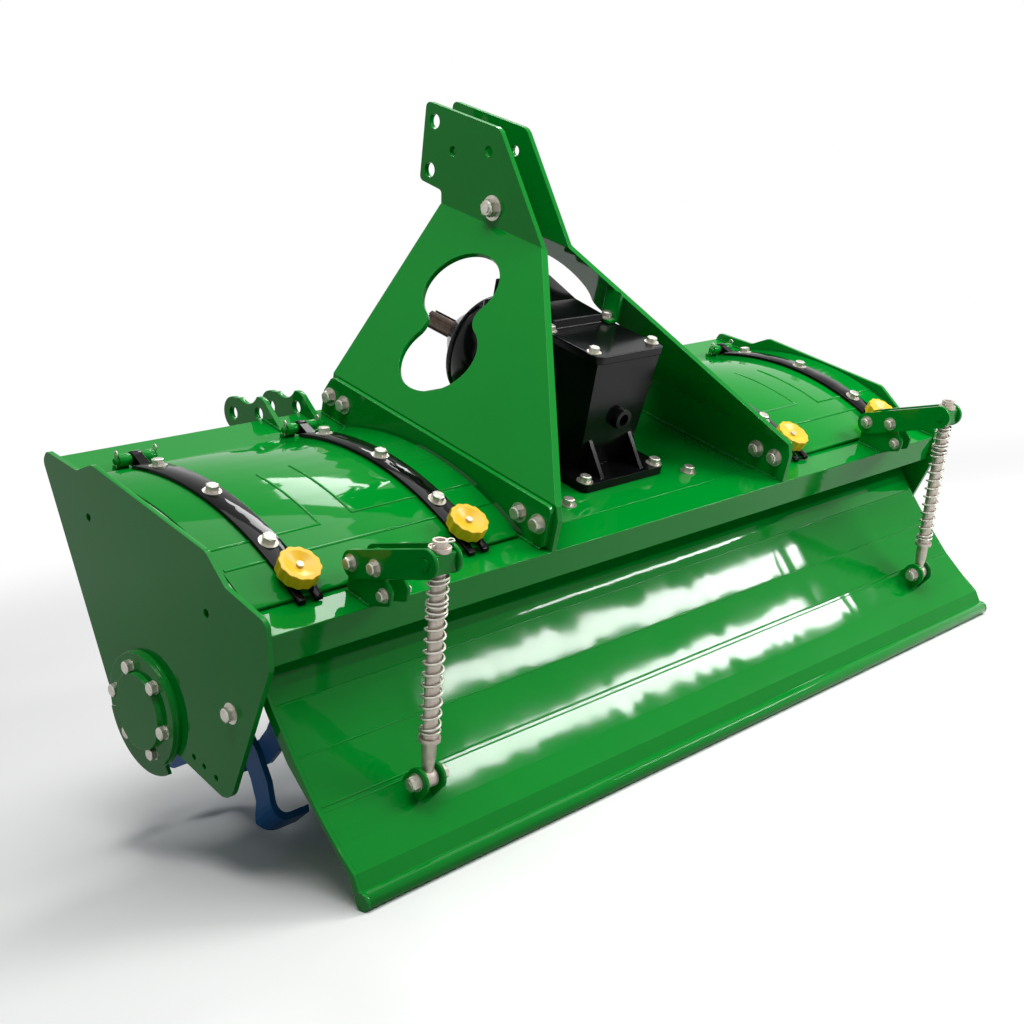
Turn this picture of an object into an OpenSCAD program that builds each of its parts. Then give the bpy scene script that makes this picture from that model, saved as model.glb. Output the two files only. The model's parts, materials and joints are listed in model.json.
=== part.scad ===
// Rotary tiller for a three-point hitch, parked on its tines and its tailboard.
// Every piece is drawn with the rotor axis at the origin, x to the right, y forward and z up,
// and parked() then leans the whole machine back until the tailboard tube meets the floor.

/* [Frame] */
// Width over the outer faces of the side plates
overall_w = 1600; // [1500:10:1700]
// Thickness of a side plate
side_t = 8; // [6:1:10]
// Height of the deck above the rotor axis
deck_z = 248; // [246:1:256]
// Thickness of the centre deck plate
deck_t = 8; // [6:1:10]
// Distance from the rotor axis to the rear face of the front beam
front_y = 235; // [230:1:240]
// Depth of the front beam, front to back
front_d = 80; // [70:1:90]
// Height of the front beam
front_h = 60; // [50:1:62]
// Distance from the rotor axis to the rear face of the rear beam
rear_y = 242; // [238:1:248]
// Depth of the rear beam, front to back
rear_d = 62; // [56:1:66]
// Height of the rear beam
rear_h = 48; // [40:1:52]
// Wall of both beams
beam_wall = 5; // [4:0.5:8]

/* [Mast] */
// Distance from the middle of the machine to the middle of a rib
rib_x = 298; // [285:1:310]
// Thickness of a rib
rib_t = 10; // [8:1:12]
// Height of a rib above the deck
rib_h = 70; // [60:1:80]
// Thickness of a mast plate
mast_t = 10; // [8:1:12]
// Clear gap between the two upper mast plates
mast_gap = 52; // [46:1:60]
// Height of the upper bend of a mast plate above the rotor axis
mast_bend_z = 573; // [560:1:585]
// Height of the top of the mast above the rotor axis
mast_top_z = 734; // [725:1:745]
// Diameter of a top link pin hole
top_pin_d = 25.6; // [19.4:0.1:26]
// Diameter of the two round ends of the window in a mast plate
window_d = 140; // [130:1:142]
// Width of the waist of that window
window_waist = 88; // [80:1:96]

/* [Hitch] */
// Distance from the middle of the machine to the middle of a lower link
link_x = 372; // [365:1:380]
// Clear gap between the two plates of a lower link bracket
link_gap = 66; // [56:1:70]
// Thickness of a lower link plate
link_t = 10; // [8:1:12]
// Diameter of a lower link pin hole
link_pin_d = 22.4; // [22:0.1:24]

/* [Covers] */
// Radius of the outer face of a cover
cover_r = 541; // [530:1:560]
// Thickness of a cover sheet
cover_t = 4; // [3:0.5:5]
// Rise of the cover above the deck at its crown
cover_rise = 48; // [46:1:52]
// Width of a hinge strap
strap_w = 40; // [34:1:44]
// Thickness of a hinge strap
strap_t = 6; // [5:0.5:7]
// Distance from a rib to the middle of the inner strap
strap_in = 97; // [80:1:110]
// Distance from a side plate to the middle of the outer strap
strap_out = 93; // [80:1:110]
// Diameter of a hinge pin of a cover
hinge_pin_d = 10; // [8:0.5:11]
// Diameter of a clamp knob
knob_d = 60; // [50:1:64]

/* [Tailboard] */
// Gap between the tailboard sheet and a side plate
tail_gap = 23; // [18:1:40]
// Thickness of the tailboard sheet
tail_t = 4; // [3:0.5:5]
// Depth of the main panel, measured down the slope from the hinge
tail_main = 215; // [205:1:225]
// Slope of the main panel below level
tail_slope = 39.3; // [37:0.1:41]
// Depth of the second panel
tail_second = 53; // [48:1:58]
// Depth of the lip panel
tail_lip = 40; // [36:1:46]
// Diameter of the tube along the lower edge
tail_tube_d = 25; // [22:1:28]

/* [Spring rods] */
// Distance from a side plate to a spring rod
rod_side = 175; // [160:1:190]
// Diameter of a spring rod
rod_d = 20; // [18:0.5:22]
// Outside diameter of the spring
spring_d = 30; // [28:0.5:31]
// Diameter of the spring wire
wire_d = 3; // [2.5:0.25:3.5]
// Turns of the spring
spring_turns = 16; // [12:1:20]

/* [Rotor] */
// Radius swept by the tine tips
tine_r = 225; // [215:1:226]
// Diameter of the rotor tube
rotor_d = 76; // [70:1:80]
// Diameter of a tine flange
flange_d = 190; // [180:1:200]
// Sideways reach of a tine from its flange
tine_reach = 62; // [50:1:65]
// Diameter of the rotor's end journals
journal_d = 50; // [45:1:52]

/* [Gearbox] */
// Height of the input shaft above the rotor axis
input_z = 352; // [348:1:358]
// Distance from the rotor axis to the end of the input shaft
input_end_y = 388; // [380:1:395]
// Outside diameter of the splined input shaft
input_d = 35; // [34:0.5:36]
// Width of the lower gear case between the rotor halves
lower_case_w = 90; // [80:1:94]

/* [Hidden] */
$fn = 48;
// Facets of the widest round faces
fine = 360;

green = "#0c8a2b";
black = "#17181a";
yellow = "#f2c40f";
blue = "#1f4f86";
steel = "#8f857c";
zinc = "#d8cfc0";

// Running clearance at pins, rods and journals
run = 0.3;
// Space between a moving sheet and the plates beside it
side_gap = 6;

half_w = overall_w / 2;
inner_x = half_w - side_t;
front_face = front_y + front_d;
rear_front = rear_d - rear_y;
front_slope = 0.8;
apron_k = norm([1, front_slope]);

// Tailboard: hinge, then panels by depth and slope, then the tube
tail_hinge_yz = [-184.2, 180.5];
tail_l = 2 * (inner_x - tail_gap);
tail_pin_r = 7;
tail_eye_r = 12;
tail_start = 16;
second_slope = 29.5;
lip_slope = 25;
curl_slope = 50;
curl = 22;
function down(p, length, slope) = p - length * [cos(slope), sin(slope)];
tail_a = down(tail_hinge_yz, tail_start, tail_slope);
tail_b = down(tail_hinge_yz, tail_main, tail_slope);
// The main panel has two shallow bends, this far below its straight line
tail_bow = 4;
tail_under = [sin(tail_slope), -cos(tail_slope)];
function tail_bend(share) = down(tail_hinge_yz, tail_main * share, tail_slope) + tail_bow * tail_under;
tail_c = down(tail_b, tail_second, second_slope);
tail_d = down(tail_c, tail_lip, lip_slope);
tail_e = down(tail_d, curl, curl_slope);
tail_tube_r = tail_tube_d / 2;
tail_tube_yz = down(tail_e, tail_tube_r - 1, curl_slope);

// The lean that puts the tube and the tine tips on one floor
tube_distance = norm(tail_tube_yz);
lean = asin((tine_r - tail_tube_r) / tube_distance) - atan2(-tail_tube_yz[1], -tail_tube_yz[0]);

// Spring rods: the lower pin on the tailboard, the trunnion on the arms
rod_x = inner_x - rod_side;
lug_along = 20;
lug_h = 22;
lug_r = 19.5;
lug_t = 6;
lug_gap = 24;
lug_pin_d = 12;
lug_foot = down(tail_b, lug_along, second_slope);
second_up = [-sin(second_slope), cos(second_slope)];
rod_pin = lug_foot + (lug_h + tail_t / 2) * second_up;
trunnion_yz = [-335, 360];
rod_vec = trunnion_yz - rod_pin;
rod_len = norm(rod_vec);
rod_tilt = atan2(rod_vec[0], rod_vec[1]);
rod_over = 28;
eye_r = 13;
eye_w = 18;
eye_bore_d = 18;
trunnion_w = 32;
trunnion_h = 26;
trunnion_pin_d = 14;
arm_gap = 34;
arm_t = 6;
arm_r = 20;
arm_foot = [-200, 292];
bracket_t = 6;

// Lower link bracket: two lobes that step down to the front
link_near = [328, 253];
link_far = [397, 226];
link_r = 28;
scallop_r = 36;
scallop_depth = 10;
// Where the plate's edges leave the beam: on its top, on its sloping front above its foot, and behind its lobes
link_foot_y = 262;
link_foot_up = 8;
link_shoulder = [-12, -3];
link_notch = [30, 10];

// Mast
flange_mid = rib_x - rib_t / 2 - mast_t / 2;
upper_mid = mast_gap / 2 + mast_t / 2;
rib_top = deck_z + rib_h;
lean_run = flange_mid - upper_mid;
lean_rise = mast_bend_z - rib_top;
mast_lean = atan2(lean_run, lean_rise);
mast_foot = [-234, 298];
mast_neck = [119, 374];
window_low = [143, 113];
window_high = [204, 236];
top_pin = [421, 705];
top_pin_low = [416, 622];
mast_holes = [[364, 668], [279, 691]];
mast_hole_r = 9;
// Lower edge of the mast's head, from its notch forward
mast_notch = [379, 596];
mast_chin = [438, 599];
cross_bolt = [248, 604];

// Gearbox
case_x = 76;
case_foot_x = 62;
case_rear = -78;
case_front = 190;
case_taper = 8;
base_x = 100;
base_rear = -123;
base_front = 215;
base_round = 12;
cover_lip = 5;
plug_xz = [10, 345];
plug_r = 18;
plug_hole_r = 10;
plug_hole_end = -76;
cast_rib_x = 48;
cast_rib_t = 8;
cast_rib_reach = 36;
cast_rib_top = 316;
cover_z = 451;
gear_cover_t = 14;
base_t = 15;
nose_r = 98;
nose_end = 225;
housing_t = 14;
snout_end = 300;
snout_r = [92, 42];
// Raised front part of the gearbox cover, as [y, height above the cover]
hump_x = 60;
hump = [[40, -2], [46, 14], [110, 18], [178, 37], [190, 37], [190, -2]];

// Covers
cover_front = 229;
cover_back = -186;
cover_top = deck_z + cover_rise;
cover_mid_y = (cover_front + cover_back) / 2;
cover_axis = [cover_mid_y, cover_top - cover_r];
hinge_yz = [235, deck_z + 18];
hinge_r = 9;
strap_eye_r = 11;
strap_eye_w = 16;
strap_front = hinge_yz[0] - 24;
strap_back = cover_back - 13;
strap_xs = [rib_x + rib_t / 2 + strap_in, inner_x - strap_out];
fork_w = 15;
barrel_l = 20;
barrel_gap = 1;
barrel_foot = 14;
barrel_foot_t = 6;
pin_end = 6;
knob_y = -161;
knob_h = 20;
knob_lobes = 12;
knob_scallop = 0.8;
knob_dish_h = 5;
knob_dish_d = [18, 50];
knob_foot_h = 4;
stud_d = 12;
cover_x0 = rib_x + rib_t / 2 + side_gap;
cover_x1 = inner_x - side_gap;

// Rotor
rotor_in = lower_case_w / 2 + 10;
rotor_out = inner_x - 27;
journal_depth = 14;
flange_t = 8;
flanges = 5;
flange_first = lower_case_w / 2 + 12 + tine_reach;
flange_last = inner_x - 14 - tine_reach;
tine_t = 9;
tine_bend = 30;
// Outline of a tine seen along the rotor, in shares of its radius
tine_shape = [[0.275, 0.22], [0.293, 0.555], [0.25, 0.755], [0.16, 0.91], [0.098, 0.9951], [-0.098, 0.9951],
    [-0.098, 0.91], [0.035, 0.8], [0.09, 0.667], [0.115, 0.533], [0.107, 0.22]];
tine_root = tine_shape[0][1] * tine_r;
tine_top = tine_shape[4][1] * tine_r;
// Depth by which a shank is let into its flange
tine_set = 1;
tines = 4;
// Turn of the first flange's tines, and from one flange to the next
rotor_phase = 53;
flange_step = 18;

// Places the machine as it parks: rear tube and tines down, origin under the middle of its box
hitch_reach = link_far[0] * cos(lean) - link_far[1] * sin(lean) + link_r;
arm_reach = trunnion_yz[0] * cos(lean) - trunnion_yz[1] * sin(lean) - arm_r;
mid_y = (hitch_reach + arm_reach) / 2;
module parked() translate([0, -mid_y, tine_r]) rotate([lean, 0, 0]) children();

// Draws a flat outline of (y, z) as a plate that starts at x and is t thick
module plate_x(x, t) translate([x, 0, 0]) rotate([90, 0, 90]) linear_extrude(t) children();
module bar_x(yz, x0, x1, r) translate([x0, yz[0], yz[1]]) rotate([0, 90, 0]) cylinder(h = x1 - x0, r = r);
module bar_y(x, z, y0, y1, r0, r1)
    translate([x, y0, z]) rotate([-90, 0, 0]) cylinder(h = y1 - y0, r1 = r0, r2 = r1);
module left() mirror([1, 0, 0]) children();
module along_rod() translate([rod_x, rod_pin[0], rod_pin[1]]) rotate([-rod_tilt, 0, 0]) children();

// Points of an outline whose corners are [y, z, radius]
corner_steps = 6;
function unit(v) = v / norm(v);
function wrap(a) = a > 180 ? a - 360 : a < -180 ? a + 360 : a;
function corner(a, b, c, r) = let (u = unit(a - b), w = unit(c - b), half = acos(u * w) / 2,
    o = b + unit(u + w) * r / sin(half), s = b + u * r / tan(half) - o, e = b + w * r / tan(half) - o,
    a0 = atan2(s[1], s[0]), turn = wrap(atan2(e[1], e[0]) - a0))
    [for (i = [0:corner_steps]) o + r * [cos(a0 + turn * i / corner_steps), sin(a0 + turn * i / corner_steps)]];
function flat(p) = [p[0], p[1]];
function rounded(p) = let (n = len(p)) [for (i = [0:n - 1])
    each p[i][2] == 0 ? [flat(p[i])] :
        corner(flat(p[(i + n - 1) % n]), flat(p[i]), flat(p[(i + 1) % n]), p[i][2])];

// Points beside a bent line, each moved d along the mitre of its bend
function normal(a, b) = let (u = unit(b - a)) [u[1], -u[0]];
function mitre(p, i, d) = let (n0 = normal(p[max(i - 1, 0)], p[max(i, 1)]),
    n1 = normal(p[min(i, len(p) - 2)], p[min(i + 1, len(p) - 1)]), m = unit(n0 + n1)) p[i] + m * d / (m * n0);
function beside(p, d) = [for (i = [0:len(p) - 1]) mitre(p, i, d)];
function backwards(p) = [for (i = [len(p) - 1:-1:0]) p[i]];

// Side plates and bearings
bearing_r = 85;
bearing_t = 12;
bearing_hub_r = 44;
bearing_boss_r = 56;
bearing_boss_t = 8;
bearing_skid_r = 98;
bearing_skid_t = 6;
bearing_skid_from = 224;
bearing_skid_to = 332;
bearing_floor = 4;
// The upper layer of the cover stands back from the edge of the lower one by this much
bearing_ledge = 2;
side_holes = [[185, 213], [-115, 216]];
side_hole_d = 12;
skid_hole_ys = [-117, -142, -171];
skid_hole_z = -10;
skid_hole_d = 9;
// Corners of a side plate as [y, z, radius]
side_outline = [[front_face + 4, deck_z - 4, 14], [front_face - 4, deck_z + 14, 10], [225, deck_z + 21, 20],
    [186, deck_z + 47, 16], [-100, deck_z + 52, 20], [-150, deck_z + 24, 16], [-238, deck_z + 20, 14],
    [-257, deck_z - 40, 20], [-206, -30, 30], [100, -30, 30]];
module side_plate() color(green) plate_x(inner_x, side_t) difference() {
    polygon(rounded(side_outline));
    circle(r = bearing_hub_r + run);
    for (p = side_holes) translate(p) circle(d = side_hole_d);
    for (y = skid_hole_ys) translate([y, skid_hole_z]) circle(d = skid_hole_d);
}
// A slice of a round plate between two angles, from forward towards up
module slice(r, a0, a1) intersection() {
    circle(r = r);
    polygon(concat([[0, 0]], [for (i = [0:4]) let (a = a0 + (a1 - a0) * i / 4) 2 * r * [cos(a), sin(a)]]));
}
module bearing_cover() color(green) difference() {
    union() {
        plate_x(half_w, bearing_skid_t) union() {
            circle(r = bearing_r);
            slice(bearing_skid_r, bearing_skid_from, bearing_skid_to);
        }
        plate_x(half_w + bearing_skid_t, bearing_t - bearing_skid_t) slice(bearing_r - bearing_ledge,
            bearing_skid_to - 360 + bearing_ledge, bearing_skid_from - bearing_ledge);
        bar_x([0, 0], half_w, half_w + bearing_t + bearing_boss_t, bearing_boss_r);
        bar_x([0, 0], rotor_out + 2, half_w, bearing_hub_r);
    }
    bar_x([0, 0], rotor_out, half_w + bearing_floor, journal_d / 2 + run);
}

// Beams and deck
module box_beam(y, z, d, h) color(green) difference() {
    translate([-inner_x, y, z]) cube([2 * inner_x, d, h]);
    translate([-inner_x - 1, y + beam_wall, z + beam_wall])
        cube([2 * inner_x + 2, d - 2 * beam_wall, h - 2 * beam_wall]);
}
// The front beam's front face slopes back, just inside the edge of the side plates
function apron_y(z) = front_face - front_slope * (deck_z - z);
module front_profile(w) polygon([[front_y + w, deck_z - w], [apron_y(deck_z - w) - w * apron_k, deck_z - w],
    [apron_y(deck_z - front_h + w) - w * apron_k, deck_z - front_h + w], [front_y + w, deck_z - front_h + w]]);
module front_beam() color(green) plate_x(-inner_x, 2 * inner_x) difference() {
    front_profile(0);
    front_profile(beam_wall);
}
module rear_beam() box_beam(-rear_y, deck_z - rear_h, rear_d, rear_h);
deck_x = rib_x + rib_t / 2;
module deck_centre() color(green) translate([-deck_x, rear_front, deck_z - deck_t])
    cube([2 * deck_x, front_y - rear_front, deck_t]);

// Ribs and mast
rib_rear = -233;
rib_front = 306;
rib_nose_h = 40;
rib_nose_d = 16;
module rib() color(green) plate_x(rib_x - rib_t / 2, rib_t) polygon(rounded([[rib_rear, deck_z, 12],
    [rib_front, deck_z, 0], [rib_front, deck_z + rib_nose_h, 10], [rib_front - rib_nose_d, rib_top, 12],
    [rib_rear, rib_top, 10]]));
module window() {
    span = norm(window_high - window_low) / 2;
    r = window_d / 2;
    waist = window_waist / 2;
    fillet = (span * span + waist * waist - r * r) / (2 * (r - waist));
    middle = (window_high + window_low) / 2;
    side = unit([window_high[1] - window_low[1], window_low[0] - window_high[0]]);
    for (p = [window_low, window_high]) translate(p) circle(r = r);
    difference() {
        polygon([window_low, middle + side * (waist + fillet), window_high, middle - side * (waist + fillet)]);
        for (s = [-1, 1]) translate(middle + s * side * (waist + fillet)) circle(r = fillet);
    }
}
// A mast plate is one strip, folded twice as seen from the front, and cut to its outline as seen from the side
mast_fold = [[flange_mid, deck_z], [flange_mid, rib_top], [upper_mid, mast_bend_z], [upper_mid, mast_top_z]];
mast_outline = rounded([[mast_foot[0] - 8, deck_z, 0], [mast_foot[1], deck_z, 0], [mast_foot[1], rib_top, 0],
    [mast_neck[1], mast_bend_z, 0], [mast_notch[0], mast_notch[1], 8], [mast_chin[0], mast_chin[1], 10],
    [449, mast_top_z, 10], [262, mast_top_z, 22], [mast_neck[0], mast_bend_z, 0], [mast_foot[0], rib_top, 0],
    [mast_foot[0] - 8, rib_top - 20, 0]]);
module mast_plate() color(green) difference() {
    intersection() {
        translate([0, front_face + 200, 0]) rotate([90, 0, 0]) linear_extrude(2 * (front_face + 200))
            polygon(concat(beside(mast_fold, mast_t / 2), backwards(beside(mast_fold, -mast_t / 2))));
        plate_x(0, rib_x) difference() {
            polygon(mast_outline);
            for (p = [top_pin, top_pin_low]) translate(p) circle(d = top_pin_d);
            for (p = mast_holes) translate(p) circle(r = mast_hole_r);
        }
    }
    translate([flange_mid, 0, rib_top]) rotate([0, -mast_lean, 0]) plate_x(-2 * mast_t, 4 * mast_t) window();
}
module mast_spacer() color(green) bar_x(cross_bolt, -mast_gap / 2, mast_gap / 2, 14);

// Gearbox, its lower case and the stays up to the mast
module plan_plate(x, y0, y1, r)
    polygon(rounded([[-x, y0, r], [x, y0, r], [x, y1, r], [-x, y1, r]]));
module gearbox_body() {
    body_z = deck_z + base_t;
    translate([0, 0, deck_z]) linear_extrude(base_t) plan_plate(base_x, base_rear, base_front, base_round);
    intersection() {
        translate([0, case_front, 0]) rotate([90, 0, 0]) linear_extrude(case_front - case_rear) polygon([
            [-case_foot_x, body_z], [case_foot_x, body_z], [case_x, cover_z], [-case_x, cover_z]]);
        plate_x(-case_x, 2 * case_x) polygon([[case_rear + case_taper, body_z],
            [case_front - case_taper, body_z], [case_front, cover_z], [case_rear, cover_z]]);
    }
    bar_y(0, input_z, case_front - 2 * case_taper, nose_end, nose_r, nose_r);
    bar_y(plug_xz[0], plug_xz[1], case_rear - case_taper, case_rear + 2 * case_taper, plug_r, plug_r);
    for (x = [-cast_rib_x, cast_rib_x]) translate([x + cast_rib_t / 2, 0, 0]) rotate([0, 0, 180])
        plate_x(0, cast_rib_t) polygon([[-case_rear - 2 * case_taper, body_z],
            [cast_rib_reach - case_rear, body_z], [-case_rear - case_taper, cast_rib_top],
            [-case_rear - 2 * case_taper, cast_rib_top]]);
}
module gearbox_case() color(black) difference() {
    gearbox_body();
    bar_y(plug_xz[0], plug_xz[1], case_rear - case_taper - 1, plug_hole_end, plug_hole_r, plug_hole_r);
}
module gearbox_cover() color(black) {
    translate([0, 0, cover_z]) linear_extrude(gear_cover_t)
        plan_plate(case_x + cover_lip, case_rear - cover_lip, case_front + cover_lip, base_round);
    plate_x(-hump_x, 2 * hump_x) translate([0, cover_z + gear_cover_t]) polygon(hump);
}
module input_housing() color(black) difference() {
    union() {
        bar_y(0, input_z, nose_end, nose_end + housing_t, nose_r, nose_r);
        bar_y(0, input_z, nose_end + housing_t, snout_end, snout_r[0], snout_r[1]);
    }
    bar_y(0, input_z, nose_end + 2, snout_end + 1, input_d / 2 + run, input_d / 2 + run);
}
lower_r = 96;
module lower_case() color(black) difference() {
    plate_x(-lower_case_w / 2, lower_case_w) {
        circle(r = lower_r);
        translate([-lower_r, 0]) square([2 * lower_r, deck_z - deck_t]);
    }
    for (s = [-1, 1]) bar_x([0, 0], s < 0 ? -lower_case_w / 2 - 1 : lower_case_w / 2 - journal_depth - 1,
        s < 0 ? -lower_case_w / 2 + journal_depth + 1 : lower_case_w / 2 + 1, journal_d / 2 + run);
}
// The stay is an angle bolted to the gearbox cover, and meets the inner face of the right mast plate
stay_x = 78;
stay_t = 8;
stay_y = 30;
stay_w = 34;
stay_foot_w = 24;
stay_foot_t = 6;
stay_z = cover_z + gear_cover_t;
module gearbox_stay() color(green) difference() {
    union() {
        translate([stay_x, stay_y, stay_z]) cube([stay_t, stay_w, mast_bend_z - stay_z]);
        translate([stay_x + stay_t - stay_foot_w, stay_y, stay_z]) cube([stay_foot_w, stay_w, stay_foot_t]);
    }
    translate([flange_mid, 0, rib_top]) rotate([0, -mast_lean, 0])
        translate([-mast_t / 2, -mast_top_z, -mast_top_z]) cube(2 * mast_top_z);
}

// Lower link brackets
module link_plate(x) plate_x(x - link_t / 2, link_t) difference() {
    low = deck_z - front_h + link_foot_up;
    top = [link_near + [0, link_r], link_far + [0, link_r]];
    across = unit(top[1] - top[0]);
    union() {
        for (p = [link_near, link_far]) translate(p) circle(r = link_r);
        polygon([[link_foot_y, deck_z], top[0] + link_shoulder, top[0], top[1],
            link_far + [link_r / 2, -link_r / 2], [apron_y(low), low],
            [front_face - link_notch[0], deck_z - link_notch[1]]]);
    }
    front_profile(0);
    translate((top[0] + top[1]) / 2 + [-across[1], across[0]] * (scallop_r - scallop_depth))
        circle(r = scallop_r);
    for (p = [link_near, link_far]) translate(p) circle(d = link_pin_d);
}
module hitch_bracket() color(green)
    for (s = [-1, 1]) link_plate(link_x + s * (link_gap + link_t) / 2);

// Covers with their straps, hinges and knobs
module cover_ring(r0, r1, x0, x1, y0, y1) intersection() {
    difference() {
        bar_x(cover_axis, x0, x1, r1, $fn = fine);
        bar_x(cover_axis, x0 - 1, x1 + 1, r0, $fn = fine);
    }
    translate([x0 - 1, y0, 0]) cube([x1 - x0 + 2, y1 - y0, 2 * deck_z]);
}
module cover() color(green) cover_ring(cover_r - cover_t, cover_r, cover_x0, cover_x1, cover_back, cover_front);
module strap(x) difference() {
    union() {
        cover_ring(cover_r, cover_r + strap_t, x - strap_w / 2, x + strap_w / 2, strap_back, strap_front);
        bar_x(hinge_yz, x - strap_eye_w / 2, x + strap_eye_w / 2, strap_eye_r);
        plate_x(x - strap_eye_w / 2, strap_eye_w) polygon([hinge_yz + [0, 10], hinge_yz + [-30, 4],
            hinge_yz + [-30, -1], hinge_yz + [-6, -9], hinge_yz]);
    }
    bar_x(hinge_yz, x - strap_w, x + strap_w, hinge_pin_d / 2 + run);
    bar_x(cover_axis, x - strap_w, x + strap_w, cover_r, $fn = fine);
    translate([x - fork_w / 2, strap_back - 1, 0])
        cube([fork_w, knob_y + fork_w / 2 - strap_back + 1, 2 * deck_z]);
}
module straps() color(black) for (x = strap_xs) strap(x);
module hinge_barrel(x) {
    bar_x(hinge_yz, x, x + barrel_l, hinge_r);
    translate([x, hinge_yz[0], deck_z]) cube([barrel_l, hinge_r, hinge_yz[1] - deck_z]);
    translate([x, hinge_yz[0], deck_z]) cube([barrel_l, barrel_foot, barrel_foot_t]);
}
module hinge_barrels() color(green) for (x = strap_xs) {
    inside = strap_eye_w / 2 + barrel_gap;
    reach = inside + barrel_l + pin_end;
    hinge_barrel(x - inside - barrel_l);
    hinge_barrel(x + inside);
    bar_x(hinge_yz, x - reach, x + reach, hinge_pin_d / 2);
}
knob_z = cover_axis[1] + sqrt(pow(cover_r + strap_t, 2) - pow(knob_y - cover_axis[0], 2));
knob_tilt = asin((cover_axis[0] - knob_y) / (cover_r + strap_t));
knob_points = 96;
knob_outline = [for (i = [0:knob_points - 1]) let (a = 360 * i / knob_points)
    (knob_d / 2 - knob_scallop + knob_scallop * cos(knob_lobes * a)) * [cos(a), sin(a)]];
module knob(x) translate([x, knob_y, knob_z]) rotate([knob_tilt, 0, 0]) {
    translate([0, 0, knob_foot_h]) difference() {
        linear_extrude(knob_h) polygon(knob_outline);
        translate([0, 0, knob_h - knob_dish_h])
            cylinder(h = knob_dish_h + 1, d1 = knob_dish_d[0], d2 = knob_dish_d[1]);
    }
    cylinder(h = knob_foot_h + 1, d = 2 * stud_d);
    translate([0, 0, run - strap_t]) cylinder(h = strap_t, d = stud_d);
}
module knobs() color(yellow) for (x = strap_xs) knob(x);

// Tailboard
tail_line = [tail_a, tail_bend(1 / 3), tail_bend(2 / 3), tail_b, tail_c, tail_d, tail_e];
tail_eye_l = 100;
tail_lug_xs = [for (share = [-0.364, -0.163, 0.163, 0.364]) share * tail_l];
tail_eye_xs = [for (share = [-0.449, -0.263, 0, 0.263, 0.449]) share * tail_l];
module tail_sheet() color(green) difference() {
    union() {
        plate_x(-tail_l / 2, tail_l)
            polygon(concat(beside(tail_line, tail_t / 2), backwards(beside(tail_line, -tail_t / 2))));
        bar_x(tail_tube_yz, -tail_l / 2, tail_l / 2, tail_tube_r);
        for (x = tail_eye_xs) {
            bar_x(tail_hinge_yz, x - tail_eye_l / 2, x + tail_eye_l / 2, tail_eye_r);
            plate_x(x - tail_eye_l / 2, tail_eye_l) let (e = [tail_hinge_yz, tail_a - [1, 1]])
                polygon(concat(beside(e, tail_t / 2), backwards(beside(e, -tail_t / 2))));
        }
    }
    bar_x(tail_tube_yz, -tail_l / 2 - 1, tail_l / 2 + 1, tail_tube_r - 3);
    bar_x(tail_hinge_yz, -tail_l / 2 - 1, tail_l / 2 + 1, tail_pin_r + run);
}
// End plate of the tailboard: it runs along the sheet's edge and reaches this far below each of its bends
tail_end_t = 6;
tail_end_depth = [12, 14, 15, 5, 5, 9, 11];
module tail_end() color(green) plate_x(tail_l / 2, tail_end_t) {
    polygon(concat(beside(tail_line, tail_t / 2),
        backwards([for (i = [0:len(tail_line) - 1]) mitre(tail_line, i, -tail_end_depth[i])])));
    translate(tail_tube_yz) circle(r = tail_tube_r);
}
tail_lug_r = 13;
tail_lug_t = 10;
module tail_hinge() color(green) {
    bar_x(tail_hinge_yz, -inner_x, inner_x, tail_pin_r);
    for (x = tail_lug_xs) plate_x(x - tail_lug_t / 2, tail_lug_t) {
        translate(tail_hinge_yz) circle(r = tail_lug_r);
        translate(tail_hinge_yz - [tail_lug_r, 0]) square([2 * tail_lug_r, deck_z - rear_h - tail_hinge_yz[1]]);
    }
}

// Spring rods: arms on the beam, trunnion, rod, spring and lugs on the tailboard
// Corners of a bracket plate as [y, height above the deck, radius]; its rear lobe hangs behind the beam
bracket_outline = [[-190, 0, 0], [-190, 52, 8], [-206, 64, 8], [-252, 70, 10], [-264, 48, 6], [-277, 38, 8],
    [-277, 18, 8], [-256, 8, 5], [-rear_y, 0, 0]];
module rod_bracket() color(green) for (s = [-1, 1])
    plate_x(rod_x + s * (arm_gap - bracket_t) / 2 - bracket_t / 2, bracket_t)
        translate([0, deck_z]) polygon(rounded(bracket_outline));
module rod_arms() color(green) for (s = [-1, 1])
    plate_x(rod_x + s * (arm_gap + arm_t) / 2 - arm_t / 2, arm_t) difference() {
        arm_dir = unit(trunnion_yz - arm_foot);
        arm_side = [-arm_dir[1], arm_dir[0]];
        union() {
            translate(trunnion_yz) circle(r = arm_r);
            translate(arm_foot) circle(r = arm_r);
            polygon([arm_foot + arm_r * arm_side, trunnion_yz + arm_r * arm_side,
                trunnion_yz - arm_r * arm_side, arm_foot - arm_r * arm_side]);
        }
        translate(trunnion_yz) circle(d = trunnion_pin_d + 2 * run);
    }
module trunnion() color(green) along_rod() translate([0, 0, rod_len]) difference() {
    union() {
        translate([-trunnion_w / 2, -14, -trunnion_h / 2]) cube([trunnion_w, 28, trunnion_h]);
        translate([-arm_gap / 2 - arm_t - 2, 0, 0]) rotate([0, 90, 0])
            cylinder(h = arm_gap + 2 * arm_t + 4, d = trunnion_pin_d);
    }
    translate([0, 0, -trunnion_h]) cylinder(h = 2 * trunnion_h, d = rod_d + 2 * run);
}
collar_d = 30;
collar_h = 6;
seat_z = 62;
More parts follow.
